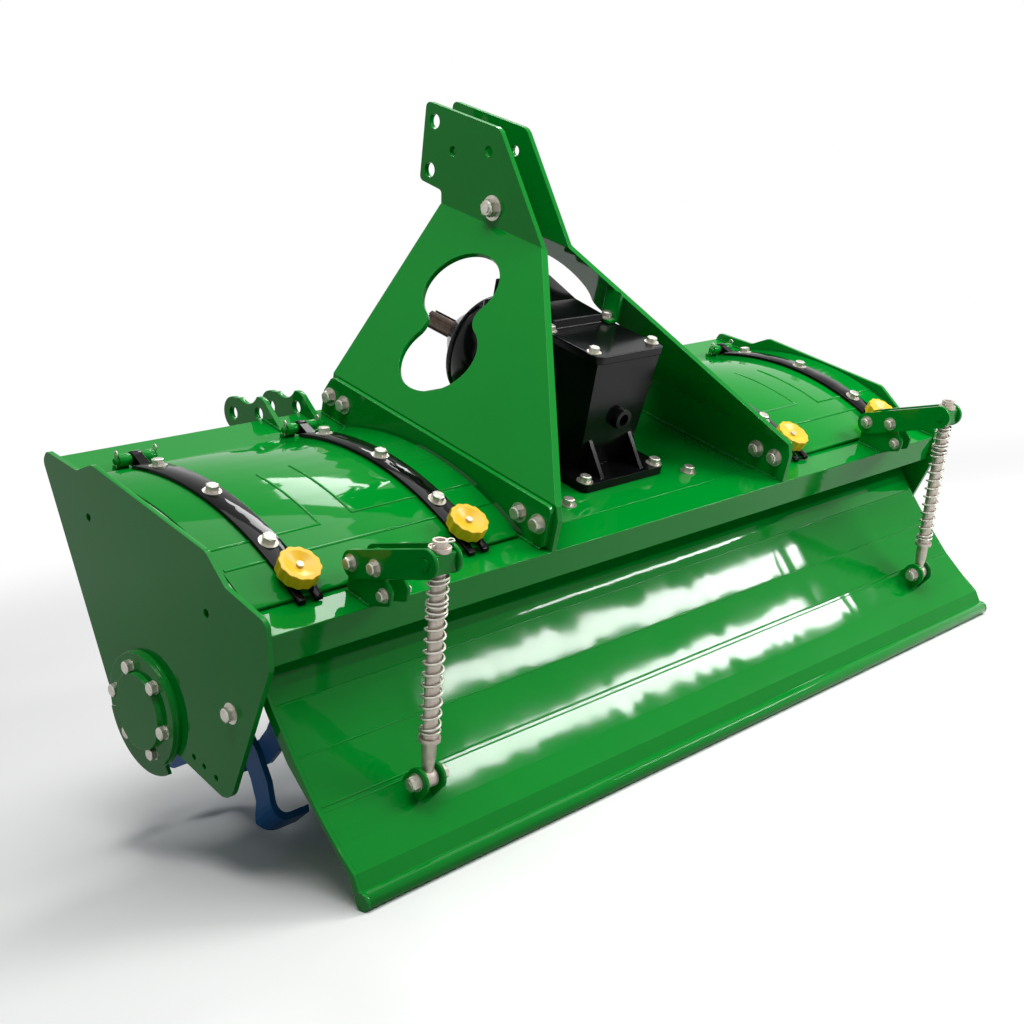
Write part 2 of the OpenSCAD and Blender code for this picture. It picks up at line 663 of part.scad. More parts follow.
module rod() color(steel) along_rod() difference() {
    union() {
        translate([-eye_w / 2, 0, 0]) rotate([0, 90, 0]) cylinder(h = eye_w, r = eye_r);
        translate([0, 0, eye_r - 3]) cylinder(h = 26, d1 = 15, d2 = rod_d);
        translate([0, 0, eye_r + 22]) cylinder(h = rod_len + rod_over - eye_r - 22, d = rod_d);
        translate([0, 0, rod_len + trunnion_h / 2 + run]) cylinder(h = collar_h, d = collar_d);
        translate([0, 0, seat_z - collar_h]) cylinder(h = collar_h, d = collar_d);
    }
    translate([-eye_w, 0, 0]) rotate([0, 90, 0]) cylinder(h = 2 * eye_w, d = eye_bore_d);
    translate([0, 0, rod_len + rod_over - 30]) cylinder(h = 31, d = rod_d - 7);
}
wire_steps = 14;
wire_sides = 6;
spring_z0 = seat_z + wire_d / 2 + run;
spring_z1 = rod_len - trunnion_h / 2 - wire_d / 2 - run;
coil_r = (spring_d - wire_d) / 2;
module spring() color(zinc) along_rod() {
    n = spring_turns * wire_steps;
    rings = [for (i = [0:n]) let (a = 360 * i / wire_steps, z = spring_z0 + (spring_z1 - spring_z0) * i / n)
        for (k = [0:wire_sides - 1]) let (q = 360 * k / wire_sides, r = coil_r + wire_d / 2 * cos(q))
            [r * cos(a), r * sin(a), z + wire_d / 2 * sin(q)]];
    walls = [for (i = [0:n - 1]) for (k = [0:wire_sides - 1]) let (k2 = (k + 1) % wire_sides)
        [i * wire_sides + k, i * wire_sides + k2, (i + 1) * wire_sides + k2, (i + 1) * wire_sides + k]];
    ends = [[for (k = [wire_sides - 1:-1:0]) k], [for (k = [0:wire_sides - 1]) n * wire_sides + k]];
    polyhedron(points = rings, faces = concat(walls, ends));
}
module rod_lugs() color(green) {
    for (s = [-1, 1]) plate_x(rod_x + s * (lug_gap + lug_t) / 2 - lug_t / 2, lug_t)
        translate(lug_foot + tail_t / 2 * second_up) rotate(second_slope) {
            translate([0, lug_h]) circle(r = lug_r);
            translate([-lug_r, 0]) square([2 * lug_r, lug_h]);
        }
    bar_x(rod_pin, rod_x - lug_gap / 2 - lug_t - 4, rod_x + lug_gap / 2 + lug_t + 4, lug_pin_d / 2);
}

// Rotor halves: tube, flanges and bent tines, and the splined input shaft
// A tine is flat bar bent once towards +x, and cut to its curved outline. Tines bend left and right by turns,
// but those of the outer flange all bend inwards
module tine() intersection() {
    rotate([90, 0, 0]) linear_extrude(tine_r, center = true) polygon(rounded([[0, tine_root, 0],
        [0, tine_top, tine_bend], [tine_reach, tine_top, 0], [tine_reach, tine_top - tine_t, 0],
        [tine_t, tine_top - tine_t, tine_bend - tine_t], [tine_t, tine_root, 0]]));
    plate_x(0, tine_reach) polygon(tine_r * tine_shape);
}
module rotor() color(blue) {
    bar_x([0, 0], rotor_in, rotor_out, rotor_d / 2);
    bar_x([0, 0], lower_case_w / 2 - journal_depth, rotor_in, journal_d / 2);
    bar_x([0, 0], rotor_out, half_w, journal_d / 2);
    pitch = (flange_last - flange_first) / (flanges - 1);
    for (f = [0:flanges - 1]) translate([flange_first + f * pitch, 0, 0]) {
        bar_x([0, 0], -flange_t / 2, flange_t / 2, flange_d / 2);
        for (i = [0:tines - 1]) rotate([rotor_phase + i * 360 / tines + f * flange_step, 0, 0])
            mirror([f == flanges - 1 ? 1 : (i + 1) % 2, 0, 0])
                translate([flange_t / 2 - tine_set, 0, 0]) tine();
    }
}
splines = 6;
module input_shaft() color(steel) difference() {
    bar_y(0, input_z, nose_end + 4, input_end_y, input_d / 2, input_d / 2);
    for (i = [0:splines - 1]) translate([0, 0, input_z]) rotate([0, i * 360 / splines, 0])
        translate([-4, snout_end + 8, input_d / 2 - 3]) cube([8, input_end_y, 6]);
}

parked() left() side_plate();  // side_plate_left
parked() side_plate();  // side_plate_right
parked() left() bearing_cover();  // bearing_cover_left
parked() bearing_cover();  // bearing_cover_right
parked() front_beam();
parked() rear_beam();
parked() deck_centre();
parked() left() rib();  // rib_left
parked() rib();  // rib_right
parked() left() mast_plate();  // mast_plate_left
parked() mast_plate();  // mast_plate_right
parked() mast_spacer();
parked() gearbox_case();
parked() gearbox_cover();
parked() input_housing();
parked() lower_case();
parked() gearbox_stay();
parked() left() hitch_bracket();  // hitch_bracket_left
parked() hitch_bracket();  // hitch_bracket_right
parked() left() hinge_barrels();  // hinge_barrels_left
parked() hinge_barrels();  // hinge_barrels_right
parked() tail_hinge();
parked() left() rod_bracket();  // rod_bracket_left
parked() rod_bracket();  // rod_bracket_right
parked() left() rod_arms();  // rod_arms_left
parked() rod_arms();  // rod_arms_right
parked() left() cover();  // cover_left
parked() cover();  // cover_right
parked() left() straps();  // straps_left
parked() straps();  // straps_right
parked() left() knobs();  // knobs_left
parked() knobs();  // knobs_right
parked() tail_sheet();
parked() left() tail_end();  // tail_end_left
parked() tail_end();  // tail_end_right
parked() left() rod_lugs();  // rod_lugs_left
parked() rod_lugs();  // rod_lugs_right
parked() left() trunnion();  // trunnion_left
parked() trunnion();  // trunnion_right
parked() left() rod();  // rod_left
parked() rod();  // rod_right
parked() left() spring();  // spring_left
parked() spring();  // spring_right
parked() left() rotor();  // rotor_left
parked() rotor();  // rotor_right
parked() input_shaft();
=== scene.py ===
# %% [markdown]
# # A rotary tiller in its paint
# The solids of the machine arrive as a fixed frame: plates, beams, gearbox, tines and every hinge are already
# at their real size. This lesson gives them their finish and adds what is too small for the frame: fasteners,
# weld beads, the wire of the springs and the light of a photo studio.

# %% Load the frame
import json
import math
import bpy
from mathutils import Matrix, Vector


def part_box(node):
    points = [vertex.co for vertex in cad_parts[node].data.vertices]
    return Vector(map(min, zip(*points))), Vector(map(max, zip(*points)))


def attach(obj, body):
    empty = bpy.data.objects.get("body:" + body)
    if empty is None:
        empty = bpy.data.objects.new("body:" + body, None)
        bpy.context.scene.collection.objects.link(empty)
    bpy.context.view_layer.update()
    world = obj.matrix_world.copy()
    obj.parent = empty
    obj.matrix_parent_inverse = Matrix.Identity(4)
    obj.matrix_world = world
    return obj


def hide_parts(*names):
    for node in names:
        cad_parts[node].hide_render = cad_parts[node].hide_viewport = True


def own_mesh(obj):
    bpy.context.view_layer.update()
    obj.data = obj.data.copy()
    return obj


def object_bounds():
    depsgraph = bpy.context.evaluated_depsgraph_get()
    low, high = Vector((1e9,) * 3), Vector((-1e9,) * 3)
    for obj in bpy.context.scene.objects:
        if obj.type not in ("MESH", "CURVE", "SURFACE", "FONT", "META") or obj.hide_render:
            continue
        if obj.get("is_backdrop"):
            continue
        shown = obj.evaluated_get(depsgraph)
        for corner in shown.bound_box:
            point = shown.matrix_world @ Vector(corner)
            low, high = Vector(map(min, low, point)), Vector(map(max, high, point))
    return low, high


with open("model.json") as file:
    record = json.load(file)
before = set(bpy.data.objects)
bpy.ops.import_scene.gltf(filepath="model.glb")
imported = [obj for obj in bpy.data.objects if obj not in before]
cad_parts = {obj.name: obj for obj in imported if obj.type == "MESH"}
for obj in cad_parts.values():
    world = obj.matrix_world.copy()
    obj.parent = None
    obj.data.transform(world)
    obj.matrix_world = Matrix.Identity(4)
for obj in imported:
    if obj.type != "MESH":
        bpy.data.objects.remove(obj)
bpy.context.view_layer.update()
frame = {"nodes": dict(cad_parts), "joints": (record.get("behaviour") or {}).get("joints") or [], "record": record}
nodes = frame["nodes"]
joints = {joint["name"]: joint for joint in frame["joints"]}

# %% [markdown]
# The machine is parked leaning back on its tailboard. It is easier to think of it with its deck level, so all
# places below are millimetres from the rotor axis: x to the right, y forward and z up. The rotor's joint gives
# the axis and the input shaft's joint gives the lean, and one matrix takes a place to where it is parked.

# %% From machine millimetres to the parked frame
rotor_axis = Vector(joints["rotor_spin"]["pos_m"])
forward = Vector(joints["input_spin"]["axis"])
lean = math.atan2(forward.z, forward.y)
PARKED = Matrix.Translation(rotor_axis) @ Matrix.Rotation(lean, 4, "X")
MM = 0.001


def at(x, y, z):
    return PARKED @ (Vector((x, y, z)) * MM)


def facing(x, y, z):
    return (PARKED.to_3x3() @ Vector((x, y, z))).normalized()


print("lean", round(math.degrees(lean), 2), "degrees")

# %% [markdown]
# The camera stands behind the left rear corner. Its place and turn were worked out from points of the machine
# whose places are known, so the picture lies over the photograph.

# %% Camera
CAMERA_AT = (-1757.4, -1451.0, 1201.2)
CAMERA_AZIMUTH = math.radians(-48.4045)
CAMERA_ELEVATION = math.radians(25.3977)
CAMERA_ROLL = math.radians(10.7761)
SENSOR = 36.0
FOCAL_SHARE = 1.41484  # focal length as a share of the sensor
SIGHT_M = 400  # past the far edge of the floor


def camera_turn(azimuth, elevation, roll):
    back = Vector((math.sin(azimuth) * math.cos(elevation), -math.cos(azimuth) * math.cos(elevation),
                   math.sin(elevation)))
    right = (-back).cross(Vector((0, 0, 1))).normalized()
    up = right.cross(-back)
    turned_right = right * math.cos(roll) + up * math.sin(roll)
    turned_up = up * math.cos(roll) - right * math.sin(roll)
    return Matrix((turned_right, turned_up, back)).transposed()


camera_data = bpy.data.cameras.new("studio_camera")
camera_data.sensor_width = SENSOR
camera_data.lens = FOCAL_SHARE * SENSOR
camera_data.clip_end = SIGHT_M
camera = bpy.data.objects.new("studio_camera", camera_data)
bpy.context.scene.collection.objects.link(camera)
turn = PARKED.to_3x3() @ camera_turn(CAMERA_AZIMUTH, CAMERA_ELEVATION, CAMERA_ROLL)
camera.matrix_world = Matrix.Translation(at(*CAMERA_AT)) @ turn.to_4x4()
bpy.context.scene.camera = camera
print("camera at", [round(v, 3) for v in camera.matrix_world.translation])

# %% [markdown]
# Every finish is a small node tree. One helper adds a node, sets what it is told and joins its sockets, and one
# helper turns a colour as a painter would write it, an sRGB hex value, into the linear light that a shader needs.
# A pattern's scale is how often it repeats in a metre, so it is worked out from its real size in millimetres.

# %% Helpers for materials


def linear(hex_colour):
    parts = [int(hex_colour[i:i + 2], 16) / 255 for i in (1, 3, 5)]
    return [c / 12.92 if c <= 0.04045 else ((c + 0.055) / 1.055) ** 2.4 for c in parts] + [1.0]


def add(tree, kind, inputs=None, **settings):
    made = tree.nodes.new(kind)
    for key, value in settings.items():
        setattr(made, key, value)
    for key, value in (inputs or {}).items():
        if isinstance(value, bpy.types.NodeSocket):
            tree.links.new(value, made.inputs[key])
        else:
            made.inputs[key].default_value = value
    return made


def finish_named(name):
    material = bpy.data.materials.new(name)
    material.use_nodes = True
    tree = material.node_tree
    shader = tree.nodes["Principled BSDF"]
    place = add(tree, "ShaderNodeTexCoord").outputs["Object"]
    return material, tree, shader, place


def per_metre(size_mm):
    return 1000 / size_mm


print("a pattern of 20 mm repeats", per_metre(20), "times in a metre")

# %% [markdown]
# Sprayed enamel is a thick glossy film. Three things keep it from looking like plastic: orange peel, a faint ripple
# that breaks up reflections; the slow waves of rolled sheet, which bend long reflections; and a thin haze of dust
# that makes the gloss uneven. Real peel is 2 to 3 mm wide, too fine to show at this distance, so it is drawn
# coarser. The thin sheet of the tailboard is wavier than plate, and its waves run up and down the sheet.

# %% How enamel is made
CLOUD_MM = 420  # how far the paint takes to change its tone
HAZE_MM = 60  # width of the dusty patches
HAZE_FROM, HAZE_TO = 0.3, 0.8  # the part of the noise that counts as haze
ENAMEL_SPECULAR = 0.12  # low, since the white studio is mirrored from all sides
PLATE_WAVES = (130, 130, 0.35)  # width, length and depth, mm
TAIL_WAVES = (60, 180, 1.0)


def enamel(name, colours, roughness, haze_depth, peel_mm, peel_depth, waves=PLATE_WAVES):
    material, tree, shader, place = finish_named(name)
    cloud = add(tree, "ShaderNodeTexNoise", {"Vector": place, "Scale": per_metre(CLOUD_MM), "Detail": 3.0})
    tone = add(tree, "ShaderNodeMix", {"Factor": cloud.outputs["Fac"], "A": linear(colours[0]),
                                       "B": linear(colours[1])}, data_type="RGBA")
    haze = add(tree, "ShaderNodeTexNoise", {"Vector": place, "Scale": per_metre(HAZE_MM), "Detail": 5.0})
    gloss = add(tree, "ShaderNodeMapRange", {"Value": haze.outputs["Fac"], "From Min": HAZE_FROM,
                                             "From Max": HAZE_TO, "To Min": roughness,
                                             "To Max": roughness + haze_depth})
    peel = add(tree, "ShaderNodeTexNoise", {"Vector": place, "Scale": per_metre(peel_mm), "Detail": 1.0})
    wide_mm, long_mm, wave_depth = waves
    stretch = wide_mm / long_mm
    sheet = add(tree, "ShaderNodeMapping", {"Vector": place, "Scale": (1.0, stretch, stretch)})
    wave = add(tree, "ShaderNodeTexNoise", {"Vector": sheet.outputs[0], "Scale": per_metre(wide_mm),
                                            "Detail": 1.0})
    relief = add(tree, "ShaderNodeMath", {0: peel.outputs["Fac"], 1: peel_depth / wave_depth,
                                          2: wave.outputs["Fac"]}, operation="MULTIPLY_ADD")
    bump = add(tree, "ShaderNodeBump", {"Height": relief.outputs[0], "Distance": wave_depth * MM})
    tree.links.new(tone.outputs["Result"], shader.inputs["Base Color"])
    tree.links.new(gloss.outputs["Result"], shader.inputs["Roughness"])
    tree.links.new(bump.outputs["Normal"], shader.inputs["Normal"])
    shader.inputs["Specular IOR Level"].default_value = ENAMEL_SPECULAR
    return material


# %% The enamels
GREEN = ("#008f2b", "#008125")
# On plate: a deep colour, with lamps mirrored almost sharp.
green_enamel = enamel("green_enamel", GREEN, roughness=0.04, haze_depth=0.04, peel_mm=9, peel_depth=0.006)
# On thin sheet: the same paint, with lamps mirrored as ragged bands.
tail_enamel = enamel("tail_enamel", GREEN, roughness=0.04, haze_depth=0.04, peel_mm=9, peel_depth=0.006,
                     waves=TAIL_WAVES)
# On castings: black with wide, dim reflections.
black_enamel = enamel("black_enamel", ("#08080a", "#0d0d0e"), roughness=0.12, haze_depth=0.10, peel_mm=6,
                      peel_depth=0.02)
# On smooth straps: black with short, sharp glints.
strap_enamel = enamel("strap_enamel", ("#070708", "#0b0b0c"), roughness=0.05, haze_depth=0.05, peel_mm=8,
                      peel_depth=0.012)
# On forged tines: one thin coat, dull and a little rough.
blue_enamel = enamel("blue_enamel", ("#2a6fb4", "#235f9c"), roughness=0.28, haze_depth=0.15, peel_mm=7,
                     peel_depth=0.04)
print("enamels:", [m.name for m in (green_enamel, tail_enamel, black_enamel, strap_enamel, blue_enamel)])

# %% [markdown]
# The rods are drawn steel that has stood in the air: dull, warm grey and a little mottled. Fasteners and spring
# wire are zinc plated, brighter and a little yellow, with the small dents of the wrench and the barrel, which break
# a lamp's image into bright and dark flecks. The splined shaft is kept under old oil, dark brown. All three are one
# recipe: a metal whose darker grains are rougher, over a dented surface.

# %% Bare and plated steel
GRAIN_ROUGHER = 0.2  # how much rougher the darkest grain is


def plated(name, colours, roughness, grain_mm, dent_mm, dent_depth):
    material, tree, shader, place = finish_named(name)
    grain = add(tree, "ShaderNodeTexNoise", {"Vector": place, "Scale": per_metre(grain_mm), "Detail": 4.0})
    tone = add(tree, "ShaderNodeMix", {"Factor": grain.outputs["Fac"], "A": linear(colours[0]),
                                       "B": linear(colours[1])}, data_type="RGBA")
    gloss = add(tree, "ShaderNodeMapRange", {"Value": grain.outputs["Fac"], "To Min": roughness,
                                             "To Max": roughness + GRAIN_ROUGHER})
    dents = add(tree, "ShaderNodeTexNoise", {"Vector": place, "Scale": per_metre(dent_mm), "Detail": 2.0})
    bump = add(tree, "ShaderNodeBump", {"Height": dents.outputs["Fac"], "Distance": dent_depth * MM})
    tree.links.new(tone.outputs["Result"], shader.inputs["Base Color"])
    tree.links.new(gloss.outputs["Result"], shader.inputs["Roughness"])
    tree.links.new(bump.outputs["Normal"], shader.inputs["Normal"])
    shader.inputs["Metallic"].default_value = 1.0
    return material


# Drawn bar: broad soft streaks of light. Zinc: bright flecks. Oiled steel: a dark, wet glint.
drawn_steel = plated("drawn_steel", ("#c4bab0", "#9a9087"), roughness=0.42, grain_mm=8, dent_mm=9, dent_depth=0.15)
zinc_plate = plated("zinc_plate", ("#d0cdc4", "#a19d92"), roughness=0.34, grain_mm=9, dent_mm=7, dent_depth=0.9)
oiled_steel = plated("oiled_steel", ("#5a4d43", "#352d28"), roughness=0.38, grain_mm=10, dent_mm=9, dent_depth=0.2)
print("metals:", [m.name for m in (drawn_steel, zinc_plate, oiled_steel)])

# %% [markdown]
# The clamp knobs are injection moulded in a coloured plastic. The pigment is never mixed quite evenly, so the tone
# drifts over a couple of centimetres, and the skin of the mould gives an even, half-soft gloss.

# %% Moulded plastic of the knobs
PIGMENT_MM = 25
MOULD_ROUGHNESS = 0.34


def moulded(name, colours):
    material, tree, shader, place = finish_named(name)
    cloud = add(tree, "ShaderNodeTexNoise", {"Vector": place, "Scale": per_metre(PIGMENT_MM), "Detail": 2.0})
    tone = add(tree, "ShaderNodeMix", {"Factor": cloud.outputs["Fac"], "A": linear(colours[0]),
                                       "B": linear(colours[1])}, data_type="RGBA")
    tree.links.new(tone.outputs["Result"], shader.inputs["Base Color"])
    shader.inputs["Roughness"].default_value = MOULD_ROUGHNESS
    return material


yellow_plastic = moulded("yellow_plastic", ("#f6c617", "#eab407"))
print("plastic:", yellow_plastic.name)

# %% [markdown]
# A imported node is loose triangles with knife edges. Real plate has a small radius on every edge, which catches
# the light. Three modifiers give that without touching the mesh: weld the triangles, dissolve the flat ones into
# whole faces, and bevel what is left, with hardened normals that keep the flat faces flat.

# %% Edges and finishes of the frame's nodes
FINISHES = {"green_enamel": green_enamel, "black_enamel": black_enamel, "blue_enamel": blue_enamel,
            "yellow_plastic": yellow_plastic, "bare_steel": drawn_steel, "spring_steel": zinc_plate}
OWN_FINISH = {"input_shaft": oiled_steel, "straps_left": strap_enamel, "straps_right": strap_enamel,
              "tail_sheet": tail_enamel}
LEFT_SHARP = ("spring", "rotor")  # springs are replaced, and the tines keep their cut edges
PLATE_EDGE_MM = 1.5
EDGE_MM = {"gearbox_case": 7, "gearbox_cover": 4, "lower_case": 6, "knobs": 1.2, "tail_sheet": 1}
WELD_MM = 0.01
FLAT_ANGLE, SHARP_ANGLE = math.radians(1), math.radians(35)


def soften(thing, radius_mm):
    weld = thing.modifiers.new("weld", "WELD")
    weld.merge_threshold = WELD_MM * MM
    flat = thing.modifiers.new("flat", "DECIMATE")
    flat.decimate_type = "DISSOLVE"
    flat.angle_limit = FLAT_ANGLE
    edge = thing.modifiers.new("edge", "BEVEL")
    edge.width = radius_mm * MM
    edge.segments = 2
    edge.limit_method = "ANGLE"
    edge.angle_limit = SHARP_ANGLE
    edge.use_clamp_overlap = True
    edge.harden_normals = True


slots = {part["node"]: part["material_slot"] for part in frame["record"]["subparts"]}
for name, thing in nodes.items():
    thing.data.materials.clear()
    thing.data.materials.append(OWN_FINISH.get(name) or FINISHES[slots[name]])
    if not name.startswith(LEFT_SHARP):
        soften(thing, EDGE_MM.get(name.removesuffix("_left").removesuffix("_right"), PLATE_EDGE_MM))
print("finished", len(nodes), "nodes")

# %% [markdown]
# Fasteners repeat all over the machine, so one Geometry Nodes tree makes them: a chamfered hexagon on a washer,
# with the end of the bolt standing out of it where it is a nut. The tree puts one on every point it is given, along
# the point's `aim` and as large as its `size`, the width over the flats. Points come in lists, one list per body.

# %% Geometry Nodes helpers


def new_tree(name, inputs):
    tree = bpy.data.node_groups.new(name, "GeometryNodeTree")
    tree.interface.new_socket("Geometry", in_out="INPUT", socket_type="NodeSocketGeometry")
    for label, kind in inputs.items():
        tree.interface.new_socket(label, in_out="INPUT", socket_type="NodeSocket" + kind)
    tree.interface.new_socket("Geometry", in_out="OUTPUT", socket_type="NodeSocketGeometry")
    return tree, add(tree, "NodeGroupInput"), add(tree, "NodeGroupOutput")


def grow(name, mesh, tree, settings, body):
    """Runs a tree on a mesh, keeps the result as a plain mesh and lets it ride on a body."""
    thing = bpy.data.objects.new(name, mesh)
    bpy.context.scene.collection.objects.link(thing)
    modifier = thing.modifiers.new(tree.name, "NODES")
    modifier.node_group = tree
    sockets = {item.name: item.identifier for item in tree.interface.items_tree if item.in_out == "INPUT"}
    for label, value in settings.items():
        modifier[sockets[label]] = value
    depsgraph = bpy.context.evaluated_depsgraph_get()
    grown = bpy.data.meshes.new_from_object(thing.evaluated_get(depsgraph))
    thing.modifiers.remove(modifier)
    thing.data = grown
    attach(thing, body)
    print(name, "has", len(grown.polygons), "faces and rides on", body)
    return thing


# %% Tree for hexagon fasteners: one fastener
# All sizes are shares of the width over the flats.
HEX_R = 0.5 / math.cos(math.radians(30))
WASHER_T = 0.14
CHAMFER_LOW, CHAMFER_TOP, CHAMFER_H = HEX_R * 0.93, HEX_R * 0.76, 0.07
BOLT_R = 0.3
bolt_tree, bolt_in, bolt_out = new_tree("hex_fasteners", {
    "Head": "Float", "Washer": "Float", "Stud": "Float", "Material": "Material"})
washer = add(bolt_tree, "GeometryNodeMeshCylinder", {"Vertices": 20, "Radius": bolt_in.outputs["Washer"],
                                                     "Depth": WASHER_T})
hexagon = add(bolt_tree, "GeometryNodeMeshCylinder", {"Vertices": 6, "Radius": HEX_R,
                                                      "Depth": bolt_in.outputs["Head"]})
chamfer = add(bolt_tree, "GeometryNodeMeshCone", {"Vertices": 12, "Radius Bottom": CHAMFER_LOW,
                                                  "Radius Top": CHAMFER_TOP, "Depth": CHAMFER_H})
stud = add(bolt_tree, "GeometryNodeMeshCylinder", {"Vertices": 14, "Radius": BOLT_R,
                                                   "Depth": bolt_in.outputs["Stud"]})
half_head = add(bolt_tree, "ShaderNodeMath", {0: bolt_in.outputs["Head"], 1: 0.5, 2: WASHER_T / 2},
                operation="MULTIPLY_ADD")
head_top = add(bolt_tree, "ShaderNodeMath", {0: bolt_in.outputs["Head"], 1: WASHER_T / 2}, operation="ADD")
placed = [washer.outputs["Mesh"]]
for shape, height in ((hexagon, half_head), (chamfer, head_top), (stud, head_top)):
    lift = add(bolt_tree, "ShaderNodeCombineXYZ", {"Z": height.outputs[0]})
    placed.append(add(bolt_tree, "GeometryNodeTransform", {"Geometry": shape.outputs["Mesh"],
                                                           "Translation": lift.outputs[0]}).outputs[0])
bolt = add(bolt_tree, "GeometryNodeJoinGeometry")
for shape in placed:
    bolt_tree.links.new(shape, bolt.inputs[0])
print("a fastener joins", len(placed), "shapes")

# %% Tree for hexagon fasteners: one on every point
aim = add(bolt_tree, "GeometryNodeInputNamedAttribute", {"Name": "aim"}, data_type="FLOAT_VECTOR")
size = add(bolt_tree, "GeometryNodeInputNamedAttribute", {"Name": "size"}, data_type="FLOAT")
turn_to = add(bolt_tree, "FunctionNodeAlignRotationToVector", {"Vector": aim.outputs["Attribute"]}, axis="Z")
spread = add(bolt_tree, "GeometryNodeInstanceOnPoints", {
    "Points": bolt_in.outputs["Geometry"], "Instance": bolt.outputs[0], "Rotation": turn_to.outputs[0],
    "Scale": size.outputs["Attribute"]})
solid = add(bolt_tree, "GeometryNodeRealizeInstances", {"Geometry": spread.outputs[0]})
coat = add(bolt_tree, "GeometryNodeSetMaterial", {"Geometry": solid.outputs[0],
                                                  "Material": bolt_in.outputs["Material"]})
bolt_tree.links.new(coat.outputs[0], bolt_out.inputs["Geometry"])
print(bolt_tree.name, "has", len(bolt_tree.nodes), "nodes")

# %% [markdown]
# Each entry below is a place, the way the head looks, and the width over its flats. The left half is listed and
# the right half mirrors it. The widths were matched to the real machine: 13 to 19 mm, as on M8 to M12 bolts, in the
# plates and the gearbox, and 26 mm through the mast.

# %% Where the fasteners sit
HALF_W, INNER_X = 800.0, 792.0  # outer and inner face of a side plate
RIB_OUT, RIB_IN = 303.0, 283.0  # the same of a rib
DECK_Z = 248.0
COVER_AXIS = (21.5, -245.0)  # the covers are rolled about this y and z
COVER_R, STRAP_TOP_R, KNOB_DISH_R = 541.0, 547.0, 566.0
STRAP_XS = (400.0, 699.0)
ROD_X = 617.0
ROD_PIN = (-379.80, 55.36)
HEAD_H = 0.5


def on_cover(y, radius):
    """Height of a place on a cover at this y, and the way it faces."""
    z = math.sqrt(radius ** 2 - (y - COVER_AXIS[0]) ** 2)
    return COVER_AXIS[1] + z, (0, (y - COVER_AXIS[0]) / radius, z / radius)


def mirrored(entries):
    return [((-x, y, z), (-ax, ay, az), width) for (x, y, z), (ax, ay, az), width in entries]


def both_sides(entries):
    return entries + mirrored(entries)


def point_cloud(name, entries):
    mesh = bpy.data.meshes.new(name)
    mesh.from_pydata([at(*place) for place, out, width in entries], [], [])
    mesh.attributes.new("aim", "FLOAT_VECTOR", "POINT")
    mesh.attributes.new("size", "FLOAT", "POINT")
    mesh.attributes["aim"].data.foreach_set("vector", [v for place, out, width in entries for v in facing(*out)])
    mesh.attributes["size"].data.foreach_set("value", [width * MM for place, out, width in entries])
    return mesh


def fasten(name, entries, body, material, washer=0.82, stud=0.01):
    grow(name, point_cloud(name, entries), bolt_tree,
         {"Head": HEAD_H, "Washer": washer, "Stud": stud, "Material": material}, body)


print("a cover's crown is at z", round(on_cover(COVER_AXIS[0], COVER_R)[0], 1))

# %% Bolts of the frame: bearings and plates
LEFT, RIGHT, UP = (-1, 0, 0), (1, 0, 0), (0, 0, 1)
BEARING_BOLTS, BEARING_RING, BEARING_START = 6, 63.3, 58.4
CAP_FACE, FLANGE_FACE = 12, 6  # how far these stand out of the side plate
ON_FLANGE = (3, 4)  # the cap is cut away round these two bolts
RIB_BOLT_YS, RIB_BOLT_Z = (286, 249, -174, -214), 284
BRACKET_BOLTS = ((-199, 294, 23, 15), (-246, 310, 23, 15), (-263, 276, 17, 13))  # y, z, half grip, width

bearing_bolts = []
for i in range(BEARING_BOLTS):
    angle = math.radians(BEARING_START + 360 / BEARING_BOLTS * i)
    face = FLANGE_FACE if i in ON_FLANGE else CAP_FACE
    ring_place = (BEARING_RING * math.cos(angle), BEARING_RING * math.sin(angle))
    bearing_bolts.append(((-HALF_W - face, *ring_place), LEFT, 17))
fasten("bearing_bolts", both_sides(bearing_bolts), "frame", zinc_plate, washer=0.6)

plate_bolts = [((-HALF_W, -189, 105), LEFT, 18)]
plate_nuts = []
for y in RIB_BOLT_YS:
    plate_bolts.append(((-RIB_OUT, y, RIB_BOLT_Z), LEFT, 19))
    plate_nuts.append(((-RIB_IN, y, RIB_BOLT_Z), RIGHT, 19))
for y, z, half, width in BRACKET_BOLTS:
    plate_bolts.append(((-ROD_X - half, y, z), LEFT, width))
    plate_nuts.append(((-ROD_X + half, y, z), RIGHT, width))

# %% Bolts of the frame: gearbox, deck and mast
case_bolts = [((-70, y, 465), UP, 15) for y in (-60, 140)]
case_bolts += [((-86, y, 263), UP, 17) for y in (-109, 40, 190)]
case_bolts += [((-150, y, DECK_Z), UP, 17) for y in (-137, 160)]
fasten("plate_bolts", both_sides(plate_bolts + case_bolts), "frame", zinc_plate)
fasten("plate_nuts", both_sides(plate_nuts), "frame", zinc_plate, stud=0.5)
middle_bolts = [((-36, 248, 604), LEFT, 26), ((36, 248, 604), RIGHT, 26), ((72, 46, 471), UP, 16),
                ((-70, 40, 465), UP, 15)]
fasten("middle_bolts", middle_bolts, "frame", zinc_plate, stud=0.3)

# %% Bolts of the covers
STRAP_BOLT_YS = (174, 38, -97)
for name, flip in (("cover_left", list), ("cover_right", mirrored)):
    strap_bolts = []
    for x in STRAP_XS:
        for y in STRAP_BOLT_YS:
            z, out = on_cover(y, STRAP_TOP_R)
            strap_bolts.append(((-x, y, z), out, 17))
    fasten(name + "_bolts", flip(strap_bolts), name, zinc_plate)

# %% Bolts of the tailboard and the rotor
LUG_HALF = 20
FLANGES, FIRST_FLANGE_X, LAST_FLANGE_X, FLANGE_TURN = 5, 119, 716, 18
TINES, TINE_START, TINE_ASIDE = 4, 53, 43  # each tine's root runs past the axis at this distance
TINE_BOLT_RS = (58, 80)
TINE_FACE, FLANGE_FACE_X = 12, 4  # from the middle of a flange

